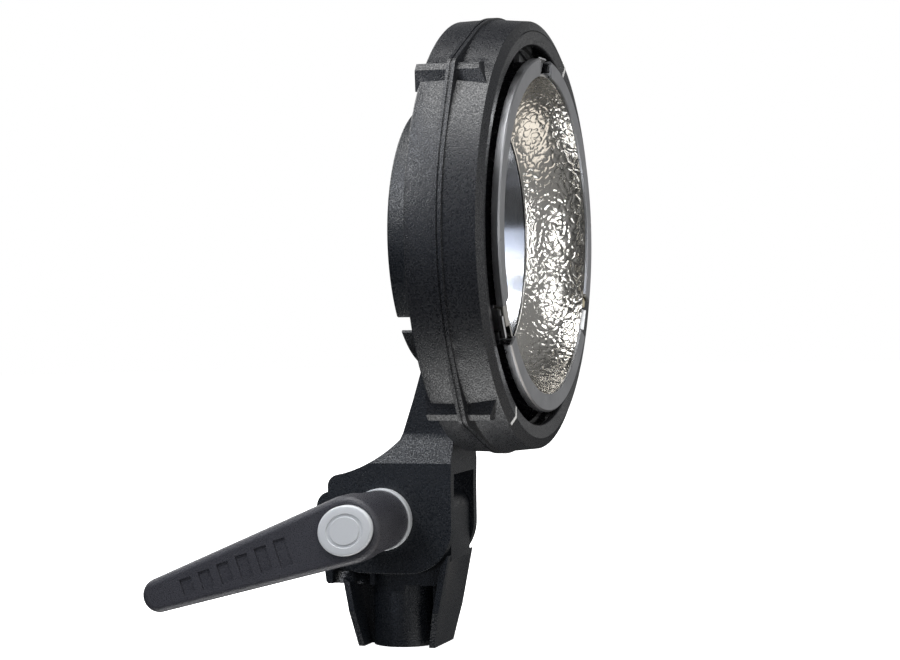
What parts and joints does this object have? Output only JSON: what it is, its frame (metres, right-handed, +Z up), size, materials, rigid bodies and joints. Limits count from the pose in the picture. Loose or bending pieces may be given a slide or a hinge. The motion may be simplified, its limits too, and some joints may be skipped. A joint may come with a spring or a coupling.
{
  "type": "strobe reflector adapter",
  "caption": "Bayonet reflector adapter for a strobe head: hammered dish in a turning grip ring, on a lever-locked tilting yoke with a stand socket.",
  "frame": {"origin": "centre of the stand socket's mouth, on the stud axis", "axes": "+Z up along the stand stud, light leaves towards -Y, the clamp lever is on the -X side"},
  "size_m": [0.167, 0.1461, 0.2415],
  "materials": {
    "black_nylon": "moulded glass-filled nylon, fine grain",
    "ring_nylon": "moulded glass-filled nylon, fine grain",
    "lever_nylon": "moulded nylon, satin",
    "bezel_grey": "moulded nylon, satin",
    "gloss_black": "moulded, glossy",
    "hammered_aluminium": "spun and hammered, bright",
    "polished_aluminium": "polished",
    "satin_aluminium": "satin turned",
    "spring_steel": "bright spring steel",
    "zinc_steel": "bright zinc plated",
    "black_screw": "black oxide",
    "brass": "turned",
    "friction_fibre": "bonded friction fibre",
    "ivory_acetal": "moulded acetal",
    "grey_plastic": "moulded ABS, satin",
    "white_print": "printed mark"
  },
  "bodies": {
    "stand_adapter": {"stand_socket": "black_nylon", "socket_liner": "zinc_steel", "knob_insert": "brass", "pivot_bush": "brass", "friction_discs": "friction_fibre"},
    "lock_shoe": {"clamp_shoe": "brass"},
    "lock_knob": {"knob_screw": "zinc_steel", "knob_grip": "black_nylon"},
    "head": {"yoke_bracket": "black_nylon", "rear_collar": "black_nylon", "core_housing": "gloss_black", "bayonet_seat": "gloss_black", "reflector_dish": "hammered_aluminium", "rim_flange": "satin_aluminium", "spring_tabs": "spring_steel", "catch_pad": "ivory_acetal", "light_tube": "polished_aluminium", "collar_screws": "black_screw", "yoke_screws": "black_screw", "stop_pin": "zinc_steel", "detent_leaf": "spring_steel", "pivot_bolt": "zinc_steel"},
    "lock_ring": {"grip_ring_rear": "ring_nylon", "grip_ring_front": "ring_nylon", "front_bezel": "bezel_grey", "cam_ring": "spring_steel", "index_marks": "white_print", "ring_screws": "black_screw"},
    "clamp_washer": {"lever_washer": "grey_plastic"},
    "clamp_lever": {"lever_handle": "lever_nylon", "lever_insert": "zinc_steel", "lever_screw": "black_screw", "button_spring": "spring_steel"},
    "lever_button": {"push_button": "grey_plastic"}
  },
  "joints": [
    {"name": "head_tilt", "type": "hinge", "parent": "stand_adapter", "child": "head", "pos_m": [0, 0.003, 0.05], "axis": [1, 0, 0], "range_deg": [-90, 45]},
    {"name": "ring_turn", "type": "hinge", "parent": "head", "child": "lock_ring", "pos_m": [0, -0.0692, 0.158], "axis": [0, 1, 0], "range_deg": [0, 25]},
    {"name": "washer_slide", "type": "slide", "parent": "head", "child": "clamp_washer", "axis": [-1, 0, 0], "range_m": [0, 0.000375]},
    {"name": "lever_turn", "type": "hinge", "parent": "clamp_washer", "child": "clamp_lever", "pos_m": [0, 0.003, 0.05], "axis": [-1, 0, 0], "range_deg": [0, 90]},
    {"name": "button_press", "type": "slide", "parent": "clamp_lever", "child": "lever_button", "axis": [1, 0, 0], "range_m": [0, 0.003], "stiffness_N_per_m": 500, "springref_m": -0.002, "deforming": ["button_spring"]},
    {"name": "shoe_slide", "type": "slide", "parent": "stand_adapter", "child": "lock_shoe", "axis": [-1, 0, 0], "range_m": [0, 0.0006]},
    {"name": "knob_turn", "type": "hinge", "parent": "lock_shoe", "child": "lock_knob", "pos_m": [0.02, 0, 0.013], "axis": [-1, 0, 0], "range_deg": [0, 216]}
  ],
  "couplings": [
    {"joint": "lever_turn", "follows": "washer_slide", "rad_per_m": 4188.8},
    {"joint": "knob_turn", "follows": "shoe_slide", "rad_per_m": 6283.2}
  ]
}
